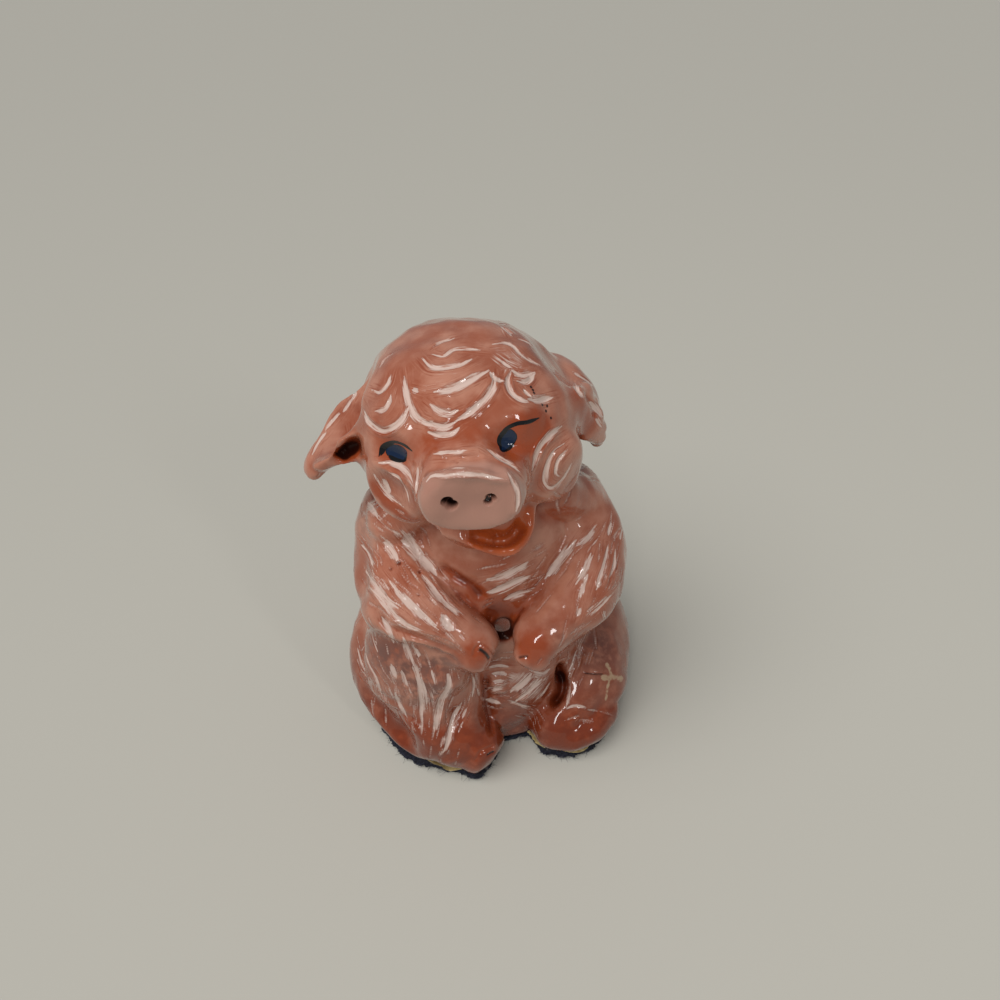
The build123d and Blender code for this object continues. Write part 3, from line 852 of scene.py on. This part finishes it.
# Painted shade for the lower body: the clay gets warmer and darker towards the floor.
low_down = np.clip((30 - clay.points[:, 2]) / 18, 0, 1)
orange += 0.5 * low_down
lilac = np.zeros(len(clay.points))
for pixel, reach, strength in orange_washes:
    place, _ = clay.seen(pixel)
    close, share = clay.near(place, reach)
    orange[close] += strength * (1 - share**2) ** 2
for pixel, reach, strength in lilac_washes:
    place, _ = clay.seen(pixel)
    close, share = clay.near(place, reach)
    lilac[close] += strength * (1 - share**2) ** 2
scrape = np.zeros(len(clay.points))
for half_width, *pixels in scrape_lines:
    line = photo_line(clay, pixels)
    close, distance, share = clay.along(line, half_width * 1.6)
    scrape[close] = np.maximum(scrape[close], np.clip(1.5 - distance / half_width, 0, 1))

disc_middle, disc_facing = clay.seen((470, 508))
on_disc = np.clip(2.2 + (clay.points - disc_middle) @ disc_facing, 0, 1)
mauve_snout = clay.blur((piece_of == clay_names.index("snout")) * on_disc, 8)
stains = {
    "slip": slip, "orange": np.clip(orange, 0, 1.2), "lilac": np.clip(lilac, 0, 1), "pool": pool,
    "shade": np.clip(shade, 0, 1), "dark": dark, "iris": iris, "lid": lid, "fleck": fleck,
    "scrape": scrape, "mauve_snout": mauve_snout, "across": across, "lengthways": lengthways,
    "mouth": np.clip(mouth, 0, 1), "low_down": low_down, "edging": edging,
    # Painted shade over the lower body, growing towards the floor.
    "lower_body": np.clip((60 - clay.points[:, 2]) / 14, 0, 1), "brushed": clay.blur(brushed, 4),
}
for name, values in stains.items():
    figure.data.attributes.new(name, "FLOAT", "POINT").data.foreach_set("value", values.astype(np.float32))


# The glaze: a clear, wet-looking glaze over stained pink clay. The colour breaks to orange in hollows,
# partly pooled stain and partly painted shade, goes pale on ridges, and the white slip lies streaky in
# the carved strokes. Painted shade darkens the deepest creases and holes to deep brown, and the lower
# body a little.
class Stain:
    """One value or colour in a material, written in sums and products like the glazer's recipe."""

    def __init__(self, tree, socket=None):
        self.tree = tree
        self.socket = socket

    def node(self, kind, settings=None, sockets=None, output=0):
        made = self.tree.nodes.new("ShaderNode" + kind)
        for name, value in (settings or {}).items():
            if name == "stops":
                ramp = made.color_ramp
                while len(ramp.elements) < len(value):
                    ramp.elements.new(0.5)
                for element, (position, colour) in zip(ramp.elements, value):
                    element.position = position
                    element.color = colour
            else:
                setattr(made, name, value)
        for name, value in (sockets or {}).items():
            if isinstance(value, Stain):
                self.tree.links.new(value.socket, made.inputs[name])
            else:
                made.inputs[name].default_value = value
        return Stain(self.tree, made.outputs[output])

    def maths(self, operation, *values):
        return self.node("Math", {"operation": operation}, dict(enumerate(values)))

    def __add__(self, other):
        return self.maths("ADD", self, other)

    def __radd__(self, other):
        return self.maths("ADD", other, self)

    def __sub__(self, other):
        return self.maths("SUBTRACT", self, other)

    def __rsub__(self, other):
        return self.maths("SUBTRACT", other, self)

    def __mul__(self, other):
        return self.maths("MULTIPLY", self, other)

    def __rmul__(self, other):
        return self.maths("MULTIPLY", other, self)

    def between(self, low, high):
        """0 below low, 1 above high, and smooth between them."""
        return self.node(
            "MapRange", {"interpolation_type": "SMOOTHSTEP"}, {"Value": self, "From Min": low, "From Max": high}
        )

    def over(self, under, colour):
        """Lays a colour over another, as thick as this value."""
        return self.node(
            "Mix", {"data_type": "RGBA", "clamp_factor": True}, {0: self, 6: under, 7: colour}, 2
        )


def colour(red, green, blue):
    """A colour read off a screen, 0 to 255, as light."""
    return tuple(
        part / 255 / 12.92 if part <= 10 else ((part / 255 + 0.055) / 1.055) ** 2.4
        for part in (red, green, blue)
    ) + (1,)


def new_finish(name):
    """An empty material, its first value to start a recipe from, and its shader node."""
    finish = bpy.data.materials.new(name)
    finish.use_nodes = True
    shader = finish.node_tree.nodes["Principled BSDF"]
    return finish, Stain(finish.node_tree), shader


def feed(shader, name, value):
    shader.id_data.links.new(value.socket, shader.inputs[name])


pink = colour(152, 84, 60)
pale_pink = colour(180, 124, 102)
terracotta = colour(136, 62, 36)
warm_orange = colour(148, 66, 34)
orange_brown = colour(112, 44, 20)
deep_brown = colour(46, 14, 6)
lilac_grey = colour(112, 72, 62)
lip_orange = colour(186, 88, 42)
slip_white = colour(210, 186, 174)
snout_mauve = colour(168, 124, 108)
bare_clay = colour(176, 152, 122)
iris_blue = colour(5, 28, 56)
iris_navy = colour(1, 4, 14)
lid_black = colour(3, 3, 6)
hole_black = colour(30, 12, 8)

glaze, start, shader = new_finish("pink_glaze")
place = start.node("TexCoord", output="Object")


def mark(name):
    return start.node("Attribute", {"attribute_name": name}, output="Fac")


def cloud(size, detail=4, roughness=0.55):
    return start.node(
        "TexNoise", {}, {"Vector": place, "Scale": 1 / size, "Detail": detail, "Roughness": roughness}
    )


blotch = cloud(0.010)
mottle = cloud(0.0026)
grit = cloud(0.0007, 3)
brush_run = start.node(
    "CombineXYZ", {}, {"X": mark("across") * 3.0, "Y": mark("lengthways") * 0.16, "Z": mottle * 0.4}
)
streak = start.node("TexNoise", {}, {"Vector": brush_run, "Scale": 1.0, "Detail": 3, "Roughness": 0.6})
streak = 0.5 + (streak - 0.5) * mark("brushed")
ridge = (0 - mark("pool")).between(0.05, 0.9)
skin_tone = blotch.between(0.36, 0.66).over(pink, pale_pink)
skin_tone = (streak.between(0.52, 0.72) * 0.7).over(skin_tone, pale_pink)
skin_tone = ((1 - streak).between(0.5, 0.7) * 0.8).over(skin_tone, terracotta)
skin_tone = (ridge * 0.6).over(skin_tone, pale_pink)
skin_tone = (mark("lilac") * mottle.between(0.3, 0.62)).over(skin_tone, lilac_grey)
flow = mark("orange") + (mottle - 0.5) * 0.8 + (blotch - 0.5) * 0.5
skin_tone = flow.between(0.1, 0.85).over(skin_tone, warm_orange)
# Orange-brown in the hollows: pooled stain, and painted shade from the shade mask.
skin_tone = (mark("pool") * 0.5 + mark("shade") * 0.9 + (mottle - 0.5) * 0.5).between(0.3, 0.9).over(
    skin_tone, orange_brown
)
# Painted shade low on the body, in the stain's orange-brown.
skin_tone = (mark("low_down") * (blotch + mottle - 0.3).between(0.25, 0.8) * 0.9).over(skin_tone, orange_brown)
skin_tone = (mark("mouth") * 0.85).over(skin_tone, lip_orange)
skin_tone = (mark("mauve_snout") * 0.9).over(skin_tone, snout_mauve)
# Painted shade: deep brown in the creases and holes that hide the sky.
skin_tone = mark("shade").between(0.5, 0.92).over(skin_tone, deep_brown)
laid_slip = mark("slip") + (mottle - 0.5) * 0.7 + (streak - 0.5) * 2.3
stroke_edge = mark("edging") * (mottle * 0.7 + streak * 0.6).between(0.45, 0.85)
skin_tone = (stroke_edge * 0.7).over(skin_tone, orange_brown)
white = laid_slip.between(0.36, 0.92)
skin_tone = (white * 0.9).over(skin_tone, slip_white)
# Painted shade over the lower body.
skin_tone = (mark("lower_body") * 0.17).over(skin_tone, deep_brown)
scraped = (mark("scrape") + (mottle - 0.5) * 3.0 + (grit - 0.5) * 1.6).between(0.3, 1.1)
scraped = scraped * mark("scrape").between(0.05, 0.5) * 0.7
skin_tone = scraped.over(skin_tone, bare_clay)
# Painted shade in the holes and slits.
skin_tone = mark("dark").between(0.25, 0.85).over(skin_tone, hole_black)
skin_tone = mark("fleck").between(0.35, 0.6).over(skin_tone, deep_brown)
iris_tone = mark("iris").between(0.6, 1.0).over(iris_navy, iris_blue)
skin_tone = mark("iris").between(0.42, 0.6).over(skin_tone, iris_tone)
skin_tone = mark("lid").between(0.4, 0.62).over(skin_tone, lid_black)
feed(shader, "Base Color", skin_tone)
deep = mark("shade").between(0.42, 0.8)
feed(shader, "Roughness", 0.2 + mottle.between(0.3, 0.8) * 0.14 + deep * 0.5)
feed(shader, "Coat Weight", 1 - deep * 0.85)
shader.inputs["Specular IOR Level"].default_value = 0.1
shader.inputs["Coat Roughness"].default_value = 0.03
shader.inputs["IOR"].default_value = 1.45
ripple = start.node(
    "Bump", {},
    {"Strength": 0.3, "Distance": 0.0003, "Height": mottle * 0.5 + streak * 0.6 + grit * 0.12 + blotch * 0.6},
)
feed(shader, "Normal", ripple)

# The clay pieces: the finished figure is parted along its luted joins into the pieces of the model, each
# closed behind its join, so that every piece can be taken alone and the joins don't show.
inset = 1.2e-3
lid_step = 1.5e-3
lid_depth = 2e-3


def behind_skin(place):
    """How far a place lies behind the clay's skin, the nearest spot on the skin and its normal."""
    spot, facing, _, _ = clay.skin.find_nearest(place)
    return (spot - place).dot(facing), spot, facing


figure.data.polygons.foreach_set("use_smooth", np.ones(len(face_pieces), bool))
normal_layer = figure.data.attributes.new("glaze_normal", "FLOAT_VECTOR", "POINT")
normal_layer.data.foreach_set("vector", clay.normals.astype(np.float32).ravel())
bpy.ops.object.select_all(action="DESELECT")
figure.select_set(True)
bpy.context.view_layer.objects.active = figure
bpy.ops.mesh.separate(type="MATERIAL")
for parted in list(bpy.context.selected_objects):
    name = parted.data.materials[0].name.removesuffix("_join")
    join_material = parted.data.materials[0]
    parted.data.materials.clear()
    parted.data.materials.append(glaze)
    bpy.data.materials.remove(join_material)
    parted.name = name + "_glazed"
    closing = bmesh.new()
    closing.from_mesh(parted.data)
    rim = [edge for edge in closing.edges if edge.is_boundary]
    grown = bmesh.ops.extrude_edge_only(closing, edges=rim)["geom"]
    inner = [item for item in grown if isinstance(item, bmesh.types.BMVert)]
    inner_edges = [item for item in grown if isinstance(item, bmesh.types.BMEdge) and item.is_boundary]
    normal_key = closing.verts.layers.float_vector["glaze_normal"]
    for vert in inner:
        vert.co -= vert[normal_key] * inset
        vert[normal_key] = (0, 0, 0)
    lid = bmesh.ops.holes_fill(closing, edges=inner_edges)["faces"]
    for face in lid:
        face.material_index = 1
    for _ in range(8):
        bmesh.ops.triangulate(closing, faces=lid)
        lid = [face for face in closing.faces if face.material_index == 1]
        long_edges = {edge for face in lid for edge in face.edges if edge.calc_length() > lid_step}
        showing = [
            edge for edge in long_edges
            if min(behind_skin(edge.verts[0].co.lerp(edge.verts[1].co, share))[0] for share in (0.25, 0.5, 0.75))
            < inset / 2
        ]
        if not showing:
            break
        bmesh.ops.subdivide_edges(closing, edges=showing, cuts=1)
        lid = [face for face in closing.faces if face.material_index == 1]
    for vert in {vert for face in lid for vert in face.verts} - set(inner):
        depth, spot, facing = behind_skin(vert.co)
        if depth < lid_depth:
            vert.co = spot - facing * lid_depth
    for face in lid:
        face.material_index = 0
    closing.to_mesh(parted.data)
    closing.free()
    normals = np.zeros(len(parted.data.vertices) * 3, np.float32)
    parted.data.attributes["glaze_normal"].data.foreach_get("vector", normals)
    parted.data.normals_split_custom_set_from_vertices(normals.reshape(-1, 3).tolist())
    parted.data.attributes.remove(parted.data.attributes["glaze_normal"])
    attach(parted, "root")
    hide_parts(name)

# The glue: a yellowish clear glue run round between the clay and the felt, squeezed out in beads where
# the foot was pressed down.
glue_finish, start, shader = new_finish("yellow_glue")
place = start.node("TexCoord", output="Object")
thick = cloud(0.004)
feed(shader, "Base Color", thick.between(0.35, 0.65).over(colour(122, 104, 66), colour(188, 168, 116)))
feed(shader, "Roughness", 0.18 + cloud(0.001) * 0.2)
shader.inputs["Coat Weight"].default_value = 0.4
foot_cut = 5.5e-3


def sole(name, low, high, spread, beads=(), bead_spread=1.01, bead_reach=0.004):
    """A layer under the figure: the foot's own outline at a share of its size, from a low to a high level.
    A bead is a place where it stands out more."""
    form = foot_form.copy()
    whole = form.verts[:] + form.edges[:] + form.faces[:]
    bmesh.ops.bisect_plane(form, geom=whole, plane_co=(0, 0, foot_cut), plane_no=(0, 0, 1), clear_outer=True)
    bmesh.ops.holes_fill(form, edges=[edge for edge in form.edges if edge.is_boundary])
    form.normal_update()
    for vert in form.verts:
        share = (vert.co.z - seat / 1000) / (foot_cut - seat / 1000)
        squeeze = max([math.exp(-((vert.co.xy - bead.xy).length / bead_reach) ** 2) for bead in beads] or [0])
        vert.co.xy *= spread + (bead_spread - spread) * squeeze
        vert.co.z = low + (high - low) * share
    mesh = bpy.data.meshes.new(name)
    form.to_mesh(mesh)
    form.free()
    layer = bpy.data.objects.new(name, mesh)
    bpy.context.scene.collection.objects.link(layer)
    layer_skin = layer.modifiers.new("skin", "REMESH")
    layer_skin.mode = "VOXEL"
    layer_skin.voxel_size = 0.4e-3
    layer.data = bpy.data.meshes.new_from_object(layer.evaluated_get(bpy.context.evaluated_depsgraph_get()))
    layer.modifiers.clear()
    layer.data.materials.clear()
    return layer


glue_beads = [at_height(pixel, 2) / 1000 for pixel in ((580, 746), (440, 760), (450, 766))]
glue = sole("glue_bead", 1.2e-3, 2.4e-3, 0.93, glue_beads)
glue.data.materials.append(glue_finish)
glue.data.polygons.foreach_set("use_smooth", np.ones(len(glue.data.polygons), bool))
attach(glue, "root")
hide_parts("glue_film")

# The felt pad: a thick dark navy felt, cut roughly round the foot of the figure and glued on. Its cut
# edge is fuzzy, with loose fibres and lint standing out of it.
felt_finish, start, shader = new_finish("navy_felt")
place = start.node("TexCoord", output="Object")
nap = cloud(0.0006, 5, 0.7)
lint = cloud(0.0022, 3)
felt_tone = nap.between(0.3, 0.7).over(colour(14, 15, 22), colour(44, 46, 58))
feed(shader, "Base Color", lint.between(0.62, 0.72).over(felt_tone, colour(92, 88, 88)))
shader.inputs["Roughness"].default_value = 1.0
shader.inputs["Specular IOR Level"].default_value = 0.1
shader.inputs["Sheen Weight"].default_value = 0.25
feed(shader, "Normal", start.node("Bump", {}, {"Strength": 0.6, "Distance": 0.0004, "Height": nap}))
felt_flaps = [at_height(pixel, 1) / 1000 for pixel in ((376, 712), (393, 732), (412, 748))]
felt = sole("felt_sole", 0, 1.5e-3, 0.98, felt_flaps, 1.0, 0.008)
felt.data.materials.append(felt_finish)
felt_seed = np.random.default_rng(9)
felt_clay = Clay(felt)
cut_edge = np.clip(np.linalg.norm(felt_clay.normals[:, :2], axis=1), 0, 1)
ragged = felt_seed.normal(0, 1, len(felt_clay.points))
ragged = 1.2 * felt_clay.blur(ragged, 3) + 3 * felt_clay.blur(ragged, 16)
felt_clay.points += felt_clay.normals * (np.clip(ragged, -0.35, 0.35) * cut_edge)[:, None]
felt_clay.points[:, 2] = np.clip(felt_clay.points[:, 2], 0, 1.5)
felt_clay.set_down()
felt.data.polygons.foreach_set("use_smooth", np.ones(len(felt.data.polygons), bool))
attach(felt, "root")
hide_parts("felt_pad")

fibre_form = bmesh.new()
for root in felt_seed.choice(np.nonzero(cut_edge > 0.8)[0], 420, replace=False):
    length = felt_seed.uniform(0.5, 1.6) ** 1.5 * 1e-3
    lean = Vector(felt_clay.normals[root]) + Vector(felt_seed.normal(0, 0.5, 3))
    turn = lean.to_track_quat("Z", "Y").to_matrix().to_4x4()
    start = Vector(felt_clay.points[root]) / 1000
    fibre = bmesh.ops.create_cone(
        fibre_form, cap_ends=True, segments=3, radius1=5e-5, radius2=1.5e-5, depth=length,
        matrix=Matrix.Translation(start) @ turn @ Matrix.Translation((0, 0, 0.4 * length)),
    )
    for vert in fibre["verts"]:
        vert.co.z = min(max(vert.co.z, 0.03e-3), 1.9e-3)
fibre_mesh = bpy.data.meshes.new("felt_fibres")
fibre_form.to_mesh(fibre_mesh)
fibre_form.free()
fibre_mesh.materials.append(felt_finish)
fibres = bpy.data.objects.new("felt_fibres", fibre_mesh)
bpy.context.scene.collection.objects.link(fibres)
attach(fibres, "root")

# The stage: a plain pale floor, a broad soft sun high at the front left, two small lamps in front for the
# wet glints on the glaze, and an even pale room.
floor_form = bmesh.new()
bmesh.ops.create_grid(floor_form, x_segments=1, y_segments=1, size=8)
floor_mesh = bpy.data.meshes.new("floor")
floor_form.to_mesh(floor_mesh)
floor_form.free()
floor_finish, start, shader = new_finish("pale_floor")
shader.inputs["Base Color"].default_value = colour(184, 181, 171)
shader.inputs["Roughness"].default_value = 0.8
floor_mesh.materials.append(floor_finish)
floor = bpy.data.objects.new("floor", floor_mesh)
bpy.context.scene.collection.objects.link(floor)

world = bpy.data.worlds.new("room")
world.use_nodes = True
world.node_tree.nodes["Background"].inputs["Color"].default_value = (1, 1, 1, 1)
world.node_tree.nodes["Background"].inputs["Strength"].default_value = 0.25
bpy.context.scene.world = world


def aim(thing, place):
    thing.location = place
    thing.rotation_euler = (Vector((0, 0, 0.05)) - Vector(place)).to_track_quat("-Z", "Y").to_euler()
    bpy.context.scene.collection.objects.link(thing)


daylight = bpy.data.lights.new("daylight", "SUN")
daylight.energy = 2.35
daylight.angle = math.radians(50)
soft_light = bpy.data.objects.new("daylight", daylight)
soft_light.visible_glossy = False
aim(soft_light, (-0.48, -0.26, 0.9))
for name, place, width, length, watts in (
    ("left_glint", (-0.28, -0.6, 0.52), 0.08, 0.2, 0.8),
    ("right_glint", (0.3, -0.62, 0.46), 0.06, 0.18, 0.55),
):
    lamp = bpy.data.lights.new(name, "AREA")
    lamp.shape = "RECTANGLE"
    lamp.size, lamp.size_y = width, length
    lamp.energy = watts
    aim(bpy.data.objects.new(name, lamp), place)

bpy.context.scene.view_settings.view_transform = "Standard"
